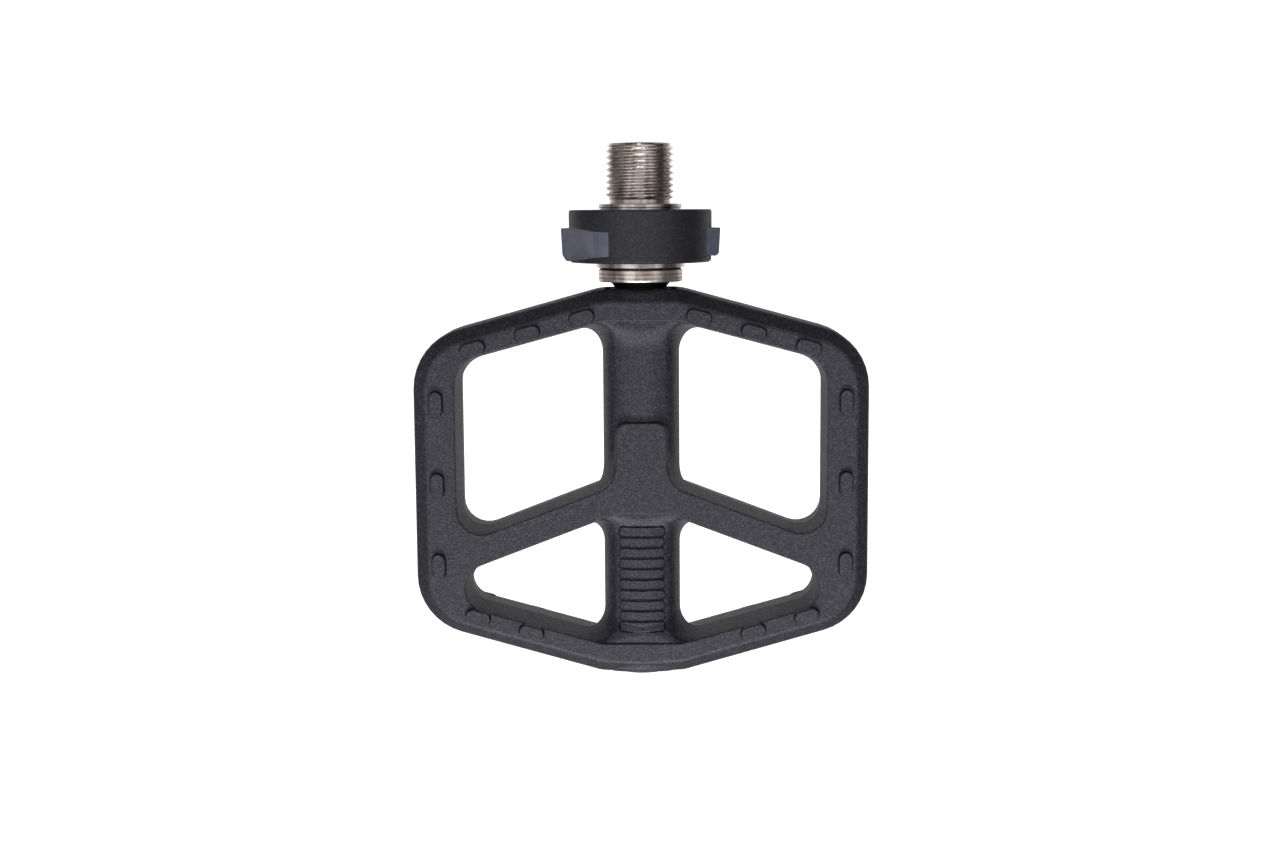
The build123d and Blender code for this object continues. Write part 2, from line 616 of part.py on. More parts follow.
def cage():
    """Moulded platform: chamfered rim, two drafted openings, spine, pad, ribs and grip bumps."""
    face = CAGE_HALF_THICKNESS
    with BuildPart() as body:
        with BuildSketch(Plane.XY):
            add(symmetric_outline(RIM_CORNERS, RIM_RADII, (0, CAGE_BOSS_Y), BOSS_ROUND).line)
            make_face()
        extrude(amount=face)
        rim = body.faces().sort_by(Axis.Z)[-1].edges()
        chamfer(rim, CHAMFER)
        for corners, radii in ((UPPER_CORNERS, UPPER_RADII), (LOWER_CORNERS, LOWER_RADII)):
            with BuildSketch(Plane.XY.offset(face)):
                add(symmetric_outline(corners, radii).line)
                make_face()
            extrude(amount=-face, taper=WALL_DRAFT, mode=Mode.SUBTRACT)
        with BuildSketch(Plane.XY.offset(face)):
            bumps_sketch()
        extrude(amount=BUMP_HEIGHT, taper=BUMP_DRAFT)
        mirror(about=Plane.XY)
        section = spine_section()
        spine_length = CAGE_TOP_Y - CAGE_BOSS_Y - SPINE_SETBACK
        extrude(section.sketch.moved(Location((0, CAGE_TOP_Y, 0))), amount=spine_length, dir=(0, -1, 0))
        add(ribs().part)
        cut_spindle_bores()
    save(body, "cage")


def cut_spindle_bores():
    """Bores through the spine: seal seat, bush seat, clearance, bearing seat, circlip and cap."""
    bush_base = BUSH_TOP_Y - BUSH_LENGTH
    circlip_base = STACK_BASE_Y - CIRCLIP_THICKNESS - 2 * GAP
    steps = [
        (MOUTH_RADIUS, CAGE_TOP_Y, BUSH_TOP_Y), (BUSH_RADIUS, BUSH_TOP_Y, bush_base),
        (BORE_CLEARANCE_RADIUS, bush_base, BEARING_START_Y), (BEARING_RADIUS, BEARING_START_Y, CAP_SEAT_Y),
        (CIRCLIP_GROOVE_RADIUS, STACK_BASE_Y - PRESS_GAP, circlip_base),
        (CAP_SEAT_RADIUS, CAP_SEAT_Y, CAGE_BOSS_Y),
    ]
    for radius, top, base in steps:
        with Locations(Location((0, (top + base) / 2, 0), (90, 0, 0))):
            Cylinder(radius, top - base, mode=Mode.SUBTRACT)


def inboard_bush():
    """Plain bush that carries the spindle at the crank end of the platform."""
    save_ring("inboard_bush", SHAFT_RADIUS + GAP, BUSH_RADIUS, BUSH_TOP_Y, BUSH_TOP_Y - BUSH_LENGTH)


def dust_seal():
    """Rubber lip seal, pressed in the platform's mouth and flaring up to the spindle's steel ring."""
    inner = SHAFT_RADIUS + GAP
    outer = MOUTH_RADIUS - GAP
    seat_y = BUSH_TOP_Y + PRESS_GAP
    waist = (5.55, CAGE_TOP_Y + 0.25)
    flank = (5.8, CAGE_TOP_Y + 0.7)
    lip = (6.55, RING_BASE_Y - 2 * GAP)
    lip_inner = (6.1, RING_BASE_Y - 2 * GAP)
    mouth = [(5.75, CAGE_TOP_Y), (outer, -18.7), (outer, seat_y)]
    lip_foot_y = RING_BASE_Y - 0.3
    with BuildPart() as seal:
        with BuildSketch(Plane.XY):
            with BuildLine():
                Polyline(lip, lip_inner, (inner, lip_foot_y), (inner, seat_y), *reversed(mouth), waist)
                Spline(waist, flank, lip)
            make_face()
        revolve(axis=Axis.Y)
    save(seal, "dust_seal")


def end_cap():
    """Threaded cap with a hexagonal recess that closes the outboard end."""
    top = CAP_SEAT_Y - GAP
    outer = CAP_SEAT_RADIUS - PRESS_GAP
    bevel = 0.3
    section = outline_face([
        (0, top), (outer, top), (outer, CAP_BASE_Y + bevel), (outer - bevel, CAP_BASE_Y), (0, CAP_BASE_Y),
    ])
    with BuildPart() as cap:
        revolve(section, axis=Axis.Y)
        with BuildSketch(across(CAP_BASE_Y)):
            RegularPolygon(CAP_SOCKET_FLATS / 2, 6, major_radius=False)
        extrude(amount=CAP_SOCKET_DEPTH, mode=Mode.SUBTRACT)
    save(cap, "end_cap")


os.makedirs("parts", exist_ok=True)
adapter_body()
retainer_nut()
collar_seal()
lock_wires()
return_spring()
collar_shell()
collar_cover()
grip_ring()
cam_ring()
spindle()
mouth_seal()
for number in range(BEARINGS):
    bearing(number)
lock_hardware()
cage()
inboard_bush()
dust_seal()
end_cap()
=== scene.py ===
"""Looks of the quick-release flat pedal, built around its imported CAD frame.

Lengths named *_MM are millimetres, as in the pedal's drawing; everything handed to Blender is metres.
+Y runs along the spindle towards the crank and +Z out of the tread face that the camera sees.
"""
import json
import math

import bmesh
import bpy
import numpy as np
from mathutils import Matrix, Vector


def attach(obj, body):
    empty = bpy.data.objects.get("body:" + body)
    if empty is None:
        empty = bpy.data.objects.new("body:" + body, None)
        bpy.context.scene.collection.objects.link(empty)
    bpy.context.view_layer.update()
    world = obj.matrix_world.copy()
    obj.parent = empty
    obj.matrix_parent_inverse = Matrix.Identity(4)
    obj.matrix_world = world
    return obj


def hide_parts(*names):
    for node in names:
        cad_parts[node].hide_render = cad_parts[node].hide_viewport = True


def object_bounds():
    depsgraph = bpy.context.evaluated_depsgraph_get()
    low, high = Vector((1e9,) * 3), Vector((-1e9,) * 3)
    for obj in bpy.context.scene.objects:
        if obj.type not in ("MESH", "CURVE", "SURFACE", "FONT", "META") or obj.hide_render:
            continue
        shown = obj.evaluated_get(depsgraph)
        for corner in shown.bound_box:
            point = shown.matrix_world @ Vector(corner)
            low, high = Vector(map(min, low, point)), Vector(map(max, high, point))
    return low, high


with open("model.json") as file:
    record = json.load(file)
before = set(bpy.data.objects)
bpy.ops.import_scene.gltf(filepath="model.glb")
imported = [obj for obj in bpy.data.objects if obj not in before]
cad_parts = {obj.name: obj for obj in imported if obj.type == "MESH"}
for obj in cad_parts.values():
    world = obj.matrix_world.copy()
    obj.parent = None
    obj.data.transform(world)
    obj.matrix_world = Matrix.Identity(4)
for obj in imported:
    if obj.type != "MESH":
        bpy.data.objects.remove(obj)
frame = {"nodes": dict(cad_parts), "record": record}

CAD_BOX = [list(corner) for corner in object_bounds()]
MM = 0.001


# ---- platform sizes ---------------------------------------------------------------------------
HALF_WIDTH_MM = 47.7
TOP_MM = -17.56
BOSS_MM = -99.2
HALF_THICKNESS_MM = 8.65
CHAMFER_MM = 2.6
DRAFT = math.tan(math.radians(4.5))
SPINE_HALF_WIDTH_MM = 8.1
SPINE_CROWN_MM = 7.6
CROWN_RADIUS_MM = 12.0
PAD_HALF_WIDTH_MM = 5.26
PAD_TOP_MM = -45.35
RIB_COUNT = 10
RIB_FIRST_MM = -67.54
RIB_PITCH_MM = 2.26
RIB_GAP_MM = 0.5
RIB_HALF_WIDTH_MM = 4.66
RIB_HEIGHT_MM = 0.35
RIB_MOAT_MM = 0.16            # depth and half width of the fine groove around each rib
BUMP_MM = (5.6, 3.1)
BUMP_HEIGHT_MM = 1.0
BUMP_DRAFT = math.tan(math.radians(14.0))
BUMP_EDGE_MM = 0.13
BUMP_ROOT_MM = 0.4            # how far a bump reaches into the moulding
# radius, crank end and outboard end of each bore; neighbours overlap a little so that they cut as one
BORE_STEPS_MM = [(6.5, -17.0, -19.6), (6.0, -19.5, -33.6), (5.4, -33.0, -82.6), (6.5, -82.5, -96.9),
                 (6.8, -96.8, -101.0)]
COVE_STEP_MM = 0.36           # how far below the tread faces the coves of the spine end


# ---- collar and adapter sizes -----------------------------------------------------------------
LUG_TOP_MM = -5.5
LUG_HEIGHT_MM = 6.0
LUG_ROOT_MM = 14.2            # radius at which the lugs start to draw in
LUG_REACH_MM = 1.5
LUG_DRAW = 0.02
THREAD_RADIUS_MM = 7.14
THREAD_PITCH_MM = 1.27
THREAD_DEPTH_MM = 0.72
THREAD_END_MM = 12.5
THREAD_BEVEL_MM = 0.7
STUD_END_RADIUS_MM = 6.34     # rim of the plain stud's end face
RELIEF_MM = (6.38, 0.85)      # radius and length of the relief next to the seat face


# ---- camera and light -------------------------------------------------------------------------
CAMERA_PLACE = (0.00369, 0.00076, 0.37545)
CAMERA_TILT = math.radians(7.28)
CAMERA_ROLL = math.radians(0.38)
CAMERA_LEAN = math.radians(0.611)
SKY_TOP = 1.06
SKY_LEFT = 0.3
SKY_RIGHT = 0.05
KEY_PLACE = (-0.03, -0.8, 0.6)
KEY_SIZE = (0.55, 0.28)
KEY_WATTS = 11.0
PEDAL_MIDDLE = (0, -0.05, 0)
FLOOR_REACH = 3.0
FLOOR_DROP = 0.8
FLOOR_GLOW = 0.3              # keeps the backdrop white without more light on the pedal
WHITE_RADIUS = 0.62           # the floor is white and glows inside this radius and fades outside it
WHITE_CENTRE = (0, -0.15, -FLOOR_DROP)


# ---- distance fields --------------------------------------------------------------------------
# A field is negative inside the solid. Joins and cuts with a radius leave a round fillet or edge.
def join(a, b, radius):
    """Union of two fields with a fillet of the given radius."""
    overlap = np.hypot(np.maximum(radius - a, 0), np.maximum(radius - b, 0))
    return np.maximum(np.minimum(a, b), radius) - overlap


def meet(a, b, radius):
    """Intersection of two fields with a rounded edge of the given radius."""
    return -join(-a, -b, radius)


def half_outline(corners, radii, steps=8):
    """Right half of a symmetric outline, from axis to axis, with each corner rounded by an arc."""
    path = [np.array(c, float) for c in [(0, corners[0][1])] + corners]
    path.append(path[-2] * (-1, 1) if corners[-1][0] == 0 else path[-1] * (0, 1))
    points = [path[0]]
    for before, corner, after, radius in zip(path, path[1:], path[2:], radii):
        to_before = (before - corner) / np.linalg.norm(before - corner)
        to_after = (after - corner) / np.linalg.norm(after - corner)
        half_angle = math.acos(np.clip(to_before @ to_after, -1, 1)) / 2
        reach = radius / math.tan(half_angle)
        middle = to_before + to_after
        centre = corner + middle / np.linalg.norm(middle) * radius / math.sin(half_angle)
        start, end = corner + to_before * reach - centre, corner + to_after * reach - centre
        sweep = math.pi - 2 * half_angle
        side = math.copysign(1, start[0] * end[1] - start[1] * end[0])
        for i in range(steps + 1):
            turn = side * sweep * i / steps
            cos, sin = math.cos(turn), math.sin(turn)
            points.append(centre + (start[0] * cos - start[1] * sin, start[0] * sin + start[1] * cos))
    if path[-1][0] == 0:
        points.append(path[-1])
    return np.array([p for p in points if p[0] > -1e-9])


def outline_field(outline, x, y):
    """Signed distance in the plane to a symmetric outline given by its right half; x is not negative."""
    best = np.full(x.shape, np.inf)
    inside = np.zeros(x.shape, bool)
    for (ax, ay), (bx, by) in zip(outline, outline[1:]):
        ex, ey = bx - ax, by - ay
        px, py = x - ax, y - ay
        along = np.clip((px * ex + py * ey) / (ex * ex + ey * ey), 0, 1)
        best = np.minimum(best, (px - along * ex) ** 2 + (py - along * ey) ** 2)
        if ay != by:
            inside ^= ((ay <= y) != (by <= y)) & (px < py * ex / ey)
    return np.where(inside, -1, 1) * np.sqrt(best)


def ease(value, start, end):
    """0 before start, 1 after end, smooth between."""
    t = np.clip((value - start) / (end - start), 0, 1)
    return t * t * (3 - 2 * t)


RIM = half_outline([(8.34, TOP_MM), (HALF_WIDTH_MM, -28.39), (HALF_WIDTH_MM, -87.64), (8.81, -98.71),
                    (0, BOSS_MM)], [14.0, 12.95, 12.75, 6.2, 30.0])
UPPER_OPENING = half_outline([(8.17, -24.21), (38.8, -32.47), (38.8, -71.19), (PAD_HALF_WIDTH_MM, -58.4),
                              (PAD_HALF_WIDTH_MM, PAD_TOP_MM)], [8.0, 6.75, 5.25, 6.0, 2.2])
LOWER_OPENING = half_outline([(5.4, -64.53), (37.7, -76.84), (36.8, -84.35), (8.3, -92.33)],
                             [7.0, 5.4, 4.85, 6.0])

# centre and turn in degrees of the bumps on the right half of a tread face
TOP_BUMPS = [(12.16, -23.32, -15.4), (23.45, -26.5, -15.4), (34.8, -29.62, -15.4)]
SIDE_BUMPS = [(42.7, y, 90.0) for y in (-41.08, -58.25, -75.4)]
BASE_BUMPS = [(34.64, -86.37, 15.8), (23.4, -89.7, 15.8)]


def box_field(x, y, half_x, half_y, corner):
    """Rounded rectangle centred on the origin."""
    qx, qy = np.abs(x) - half_x + corner, np.abs(y) - half_y + corner
    return np.hypot(np.maximum(qx, 0), np.maximum(qy, 0)) + np.minimum(np.maximum(qx, qy), 0) - corner


def ribs_plan(x, y):
    """Distance in plan to the nearest cross bar of the spine."""
    length = RIB_PITCH_MM - RIB_GAP_MM
    first = RIB_FIRST_MM - length / 2
    number = np.clip(np.round((first - y) / RIB_PITCH_MM), 0, RIB_COUNT - 1)
    return box_field(x, y - first + number * RIB_PITCH_MM, RIB_HALF_WIDTH_MM, length / 2, 0.6)


def plan_fields(x, y):
    """The parts of the platform's field that depend on x and y only."""
    return {"rim": outline_field(RIM, x, y), "upper": outline_field(UPPER_OPENING, x, y),
            "lower": outline_field(LOWER_OPENING, x, y), "ribs": ribs_plan(x, y)}


def bores(x, y, z):
    """Stepped bores along the spine: seal and bush seats, clearance, bearing seat and cap seat."""
    radial = np.hypot(x, z)
    best = np.inf
    for radius, top, base in BORE_STEPS_MM:
        step = np.maximum(radial - radius, np.abs(y - (top + base) / 2) - (top - base) / 2)
        best = np.minimum(best, step)
    return best


def cove_radius(y):
    """Radius of the cove between spine and webs: wide at the crank end and under the pad, tight beside it."""
    crank_end = 5.6 * ease(y, -44.0, -36.0)
    under_pad = np.maximum(2.0 * ease(-y, 50.0, 56.0), 4.6 * ease(-y, 59.0, 63.0))
    return 0.45 + np.maximum(crank_end, under_pad) + 0.9 * ease(-y, 80.0, 88.0)


def platform_field(x, y, z, plan=None):
    """The moulded platform without its bumps: chamfered rim, drafted openings, spine in coves, pad, ribs."""
    x, z = np.abs(x), np.abs(z)
    plan = plan or plan_fields(x, y)
    face = z - HALF_THICKNESS_MM
    chamfer = (plan["rim"] + face + CHAMFER_MM) / math.sqrt(2)
    rim = meet(meet(plan["rim"], chamfer, 0.5), face, 0.35)

    crown = np.hypot(x, z + CROWN_RADIUS_MM - SPINE_CROWN_MM) - CROWN_RADIUS_MM
    spine = meet(crown, x - SPINE_HALF_WIDTH_MM, 3.2)
    spine_ends = np.maximum(y - TOP_MM + 0.8, BOSS_MM + 0.45 - y)
    spine_body = meet(spine, spine_ends, 0.8)

    wall = DRAFT * (-face)
    webs = np.maximum(-(plan["upper"] + wall), -(plan["lower"] + wall))
    flared = meet(join(webs, spine, cove_radius(y)), face + COVE_STEP_MM, 1.0)
    body = meet(join(webs, flared, 0.08), join(rim, spine_body, 0.8), 0.25)

    stands = 1 - ease(-y, 88.5, 89.6)           # the last rib sinks into the ramp of the boss
    bars = meet(plan["ribs"], crown - RIB_HEIGHT_MM * stands, 0.08)
    moat_depth = RIB_MOAT_MM * (4 * stands - 3)
    moat = np.maximum(np.abs(plan["ribs"] - RIB_MOAT_MM) - RIB_MOAT_MM, -crown - moat_depth)
    body = np.maximum(join(body, np.maximum(bars, -crown - 2.0), 0.05), -moat)
    return np.maximum(body, -bores(x, y, z))


# ---- field to mesh ----------------------------------------------------------------------------
def net(field, axes):
    """Surface net: one point in each grid cell that the surface crosses, one face at each crossed edge."""
    inside = field < 0
    corners = [(i, j, k) for i in (0, 1) for j in (0, 1) for k in (0, 1)]
    n = [s - 1 for s in field.shape]
    count = np.zeros(n, np.uint8)
    for i, j, k in corners:
        count += inside[i:i + n[0], j:j + n[1], k:k + n[2]]
    cells = np.argwhere((count > 0) & (count < 8))
    number = np.full(n, -1, np.int64)
    number[tuple(cells.T)] = np.arange(len(cells))

    total = np.zeros((len(cells), 3))
    hits = np.zeros(len(cells))
    for a, b in [(a, b) for a in corners for b in corners if sum(b) - sum(a) == 1 and
                 all(q >= p for p, q in zip(a, b))]:
        ia, ib = cells + a, cells + b
        fa, fb = field[tuple(ia.T)], field[tuple(ib.T)]
        crossed = (fa < 0) != (fb < 0)
        share = np.where(crossed, fa / np.where(crossed, fa - fb, 1), 0)
        for axis in range(3):
            pa, pb = axes[axis][ia[:, axis]], axes[axis][ib[:, axis]]
            total[:, axis] += np.where(crossed, pa + share * (pb - pa), 0)
        hits += crossed
    points = total / hits[:, None]

    faces = []
    for axis in range(3):
        u, v = (axis + 1) % 3, (axis + 2) % 3
        low = [slice(1, -1)] * 3
        low[axis] = slice(0, -1)
        high = [slice(1, -1)] * 3
        high[axis] = slice(1, None)
        crossed = inside[tuple(low)] != inside[tuple(high)]
        at = np.argwhere(crossed) + [0 if a == axis else 1 for a in range(3)]
        du, dv = np.eye(3, dtype=int)[u], np.eye(3, dtype=int)[v]
        ring = [number[tuple((at - s * du - t * dv).T)] for s, t in ((1, 1), (0, 1), (0, 0), (1, 0))]
        quads = np.stack(ring, axis=1)
        flip = ~inside[tuple(at.T)]
        quads[flip] = quads[flip][:, ::-1]
        faces.append(quads)
    return points, np.concatenate(faces)


def gradient(function, points, step=0.01):
    """Slope of a field at points, by central differences."""
    slopes = []
    for axis in range(3):
        shift = np.zeros(3)
        shift[axis] = step
        ahead, behind = points + shift, points - shift
        slopes.append((function(*ahead.T) - function(*behind.T)) / (2 * step))
    return np.stack(slopes, axis=1)


def settle(function, points, rounds=3, most=0.12):
    """Move points down the field's slope onto its surface."""
    for _ in range(rounds):
        slope = gradient(function, points)
        length2 = np.maximum((slope ** 2).sum(axis=1), 0.05)
        move = slope * (function(*points.T) / length2)[:, None]
        size = np.linalg.norm(move, axis=1, keepdims=True)
        points = points - move * np.minimum(1, most / np.maximum(size, 1e-9))
    return points


def grid_lines(*stretches):
    """Grid positions from stretches of (start, end, spacing)."""
    lines = [np.arange(start, end, spacing) for start, end, spacing in stretches]
    return np.concatenate(lines + [[stretches[-1][1]]])


def mesh_piece(name, points_mm, faces):
    """A Blender object from points in millimetres and faces."""
    mesh = bpy.data.meshes.new(name)
    mesh.from_pydata((points_mm * MM).tolist(), [], faces)
    piece = bpy.data.objects.new(name, mesh)
    bpy.context.scene.collection.objects.link(piece)
    return piece


def apply_modifiers(piece):
    """Replace a piece's mesh by what its modifiers make of it."""
    evaluated = piece.evaluated_get(bpy.context.evaluated_depsgraph_get())
    piece.data = bpy.data.meshes.new_from_object(evaluated)
    piece.modifiers.clear()


def shade_smooth(mesh):
    """Smooth shading on every face."""
    mesh.polygons.foreach_set("use_smooth", np.ones(len(mesh.polygons), bool))


def shade_with(mesh, normals):
    """Smooth shading with a given normal at each point."""
    shade_smooth(mesh)
    mesh.normals_split_custom_set_from_vertices(normals)


def thin_out(piece, triangles):
    """Collapse a mesh to about this many triangles, which mostly clears its flat and gently curved faces."""
    mesh = piece.data
    mesh.calc_loop_triangles()
    thin = piece.modifiers.new("thin", "DECIMATE")
    thin.ratio = min(1, triangles / len(mesh.loop_triangles))
    apply_modifiers(piece)


def field_piece(name, function, axes, triangles, field):
    """Mesh a field, thin it, put its points back on the surface and shade it with the field's slope."""
    points, faces = net(field, axes)
    points = settle(function, points)
    piece = mesh_piece(name, points, faces.tolist())
    thin_out(piece, triangles)
    mesh = piece.data
    flat = np.empty(3 * len(mesh.vertices))
    mesh.vertices.foreach_get("co", flat)
    points = settle(function, flat.reshape(-1, 3) / MM, rounds=2, most=0.05)
    points = np.clip(points, np.array(CAD_BOX[0]) / MM, np.array(CAD_BOX[1]) / MM)
    mesh.vertices.foreach_set("co", (points * MM).ravel())
    slope = gradient(function, points)
    normals = slope / np.maximum(np.linalg.norm(slope, axis=1, keepdims=True), 1e-9)
    shade_with(mesh, normals.tolist())
    mesh.update()
    return piece


def obround(length, width, steps=14):
    """Points and outward normals around a round-ended bar, centred on the origin."""
    points, normals = [], []
    for end in (1, -1):
        for i in range(steps + 1):
            turn = math.pi * (i / steps - 0.5) + (0 if end > 0 else math.pi)
            normal = np.array((math.cos(turn), math.sin(turn)))
            points.append(np.array((end * (length - width) / 2, 0)) + normal * width / 2)
            normals.append(normal)
    return np.array(points), np.array(normals)


def bumps():
    """Grip bumps of both tread faces: drafted round-ended studs with a small round edge."""
    rim, outward = obround(*BUMP_MM)
    shoulder = BUMP_HEIGHT_MM - BUMP_EDGE_MM
    # outset, height and upward share of the normal at each level of a bump, from its root to its top
    rows = [(0.0, -BUMP_ROOT_MM, 0.05), (0.0, 0.0, 0.0), (-BUMP_DRAFT * shoulder, shoulder, 0.05)]
    for i in range(5):
        turn = math.pi / 2 * i / 4
        outset = BUMP_EDGE_MM * (math.cos(turn) - 1) - BUMP_DRAFT * BUMP_HEIGHT_MM
        rows.append((outset, shoulder + BUMP_EDGE_MM * math.sin(turn), math.sin(turn)))
    points, faces, normals = [], [], []
    right = TOP_BUMPS + SIDE_BUMPS + BASE_BUMPS
    places = [(x * side, y, angle * side) for x, y, angle in right for side in (1, -1)]
    for bx, by, angle in places:
        cos, sin = math.cos(math.radians(angle)), math.sin(math.radians(angle))
        turn = np.array(((cos, -sin), (sin, cos)))
        for face_side in (1, -1):
            start = len(points)
            for outset, height, lift in rows:
                flat = math.sqrt(1 - lift ** 2)
                for p, n in zip((rim + outward * outset) @ turn.T, outward @ turn.T):
                    points.append((bx + p[0], by + p[1], face_side * (HALF_THICKNESS_MM + height)))
                    normals.append((n[0] * flat, n[1] * flat, face_side * lift))
            count = len(rim)
            for r in range(len(rows) - 1):
                for i in range(count):
                    a, b = start + r * count + i, start + r * count + (i + 1) % count
                    quad = (a, b, b + count, a + count)
                    faces.append(quad if face_side > 0 else quad[::-1])
            for first, last in ((0, count), ((len(rows) - 1) * count, len(rows) * count)):
                cap = tuple(range(start + first, start + last))
                upwards = (first > 0) == (face_side > 0)
                faces.append(cap if upwards else cap[::-1])
    piece = mesh_piece("grip_bumps", np.array(points), faces)
    shade_with(piece.data, normals)
    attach(piece, "platform")
    return piece


def platform():
    """The visible platform, which stands for the CAD cage."""
    cell = 0.3
    x = grid_lines((-48.0, -5.3, cell), (-5.3, -4.4, 0.5 * cell), (-4.4, 4.4, cell), (4.4, 5.3, 0.5 * cell),
                   (5.3, 48.0, cell))
    y = grid_lines((-99.8, -90.0, cell), (-90.0, -66.0, 0.55 * cell), (-66.0, -17.6, cell))
    z = grid_lines((-10.0, -5.5, 0.75 * cell), (-5.5, 5.5, 1.6 * cell), (5.5, 10.0, 0.75 * cell))
    px, py = np.meshgrid(np.abs(x), y, indexing="ij")
    plan = {key: value[:, :, None] for key, value in plan_fields(px, py).items()}
    gx, gy, gz = x[:, None, None], y[None, :, None], z[None, None, :]
    field = platform_field(gx, gy, gz, plan)
    triangles = 190000
    piece = field_piece("platform_moulding", platform_field, (x, y, z), triangles, field)
    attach(piece, "platform")
    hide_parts("cage")
    return piece


# ---- softened CAD pieces ----------------------------------------------------------------------
def copy_of(node):
    """A welded bmesh of a CAD node's mesh, in the row's frame."""
    source = frame["nodes"][node]
    bm = bmesh.new()
    bm.from_mesh(source.data)
    bm.transform(source.matrix_world)
    bmesh.ops.remove_doubles(bm, verts=bm.verts, dist=2e-6)
    for edge in bm.edges:
        edge.smooth = True
    return bm


def stand_for(bm, name, node):
    """Finish a reshaped copy of a CAD node: it rides the same body, in the same slot, in its place."""
    mesh = bpy.data.meshes.new(name)
    bm.to_mesh(mesh)
    bm.free()
    stale_normals = mesh.attributes.get("custom_normal")
    if stale_normals:
        mesh.attributes.remove(stale_normals)
    piece = bpy.data.objects.new(name, mesh)
    bpy.context.scene.collection.objects.link(piece)
    mesh.materials.append(frame["nodes"][node].data.materials[0])
    bodies = frame["record"]["behaviour"]["bodies"]
    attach(piece, next(body for body, nodes in bodies.items() if node in nodes))
    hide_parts(node)
    return piece


def soften(node, name, width_mm, reshape=None):
    """A copy of a CAD node whose sharp edges are rounded, after an optional change of shape."""
    bm = copy_of(node)
    bmesh.ops.dissolve_limit(bm, angle_limit=math.radians(0.6), verts=bm.verts, edges=bm.edges)
    if reshape:
        for vert in bm.verts:
            vert.co = Vector(reshape(*(vert.co / MM))) * MM
    piece = stand_for(bm, name, node)
    bevel = piece.modifiers.new("bevel", "BEVEL")
    bevel.width = width_mm * MM
    bevel.segments = 3
    bevel.angle_limit = math.radians(28)
    bevel.harden_normals = False
    normals = piece.modifiers.new("weighted_normal", "WEIGHTED_NORMAL")
    normals.keep_sharp = True
    shade_smooth(piece.data)
    apply_modifiers(piece)
    return piece


def lug_taper(x, y, z):
    """Draws the lugs' tips in towards their outboard end."""
    down = max(0, LUG_TOP_MM - y) / LUG_HEIGHT_MM
    out = min(1, max(0, math.hypot(x, z) - LUG_ROOT_MM) / LUG_REACH_MM)
    scale = 1 - LUG_DRAW * down * out
    return x * scale, y, z * scale


def thread_radius(angle, y):
    """Radius of the stud's surface: a 60 degree thread between a relief groove and the end bevel."""
    phase = np.mod(y / THREAD_PITCH_MM + angle / (2 * math.pi), 1.0)
    away = np.abs(phase - 0.5) * 2
    tooth = THREAD_RADIUS_MM - THREAD_DEPTH_MM * np.clip((0.86 - away) / 0.68, 0, 1)
    relief = RELIEF_MM[0] + np.maximum(0, y - RELIEF_MM[1]) * 1.2
    bevel = THREAD_RADIUS_MM - np.maximum(0, y - THREAD_END_MM + THREAD_BEVEL_MM)
    return np.minimum(np.minimum(tooth, relief), bevel)


def threaded_adapter():
    """The adapter with a real thread cut on its stud, in place of the plain crest cylinder."""
    def on_stud(vert):
        x, y, z = vert.co / MM
        radius = math.hypot(x, z)
        plain = min(THREAD_RADIUS_MM, STUD_END_RADIUS_MM + THREAD_END_MM - y)
        return y > -0.001 and abs(radius - plain) < 0.02

    bm = copy_of("adapter_body")
    stud = [f for f in bm.faces if abs(f.normal.y) < 0.9 and all(on_stud(v) for v in f.verts)]
    bmesh.ops.delete(bm, geom=stud, context="FACES")
    rims = [e for e in bm.edges if e.is_boundary]
    columns, rows_per_turn = ((120, 16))
    rows = np.append(np.arange(0.0, THREAD_END_MM, THREAD_PITCH_MM / rows_per_turn), THREAD_END_MM)
    grid = []
    for y in rows:
        ring = []
        for column in range(columns):
            angle = 2 * math.pi * column / columns
            radius = float(thread_radius(angle, y))
            ring.append(bm.verts.new(Vector((radius * math.cos(angle), y, radius * math.sin(angle))) * MM))
        grid.append(ring)
    for low, high in zip(grid, grid[1:]):
        for i in range(columns):
            j = (i + 1) % columns
            bm.faces.new((low[i], high[i], high[j], low[j]))
    bm.edges.ensure_lookup_table()
    for ring, y in ((grid[0], 0.0), (grid[-1], THREAD_END_MM)):
        loop = [e for e in rims if e.is_valid and abs(e.verts[0].co.y / MM - y) < 0.01]
        edges = [bm.edges.get((ring[i], ring[(i + 1) % columns])) for i in range(columns)]
        bmesh.ops.bridge_loops(bm, edges=loop + edges)
    bmesh.ops.recalc_face_normals(bm, faces=bm.faces)
    piece = stand_for(bm, "threaded_adapter", "adapter_body")
    shade_smooth(piece.data)
    piece.data.set_sharp_from_angle(angle=math.radians(30))
    return piece


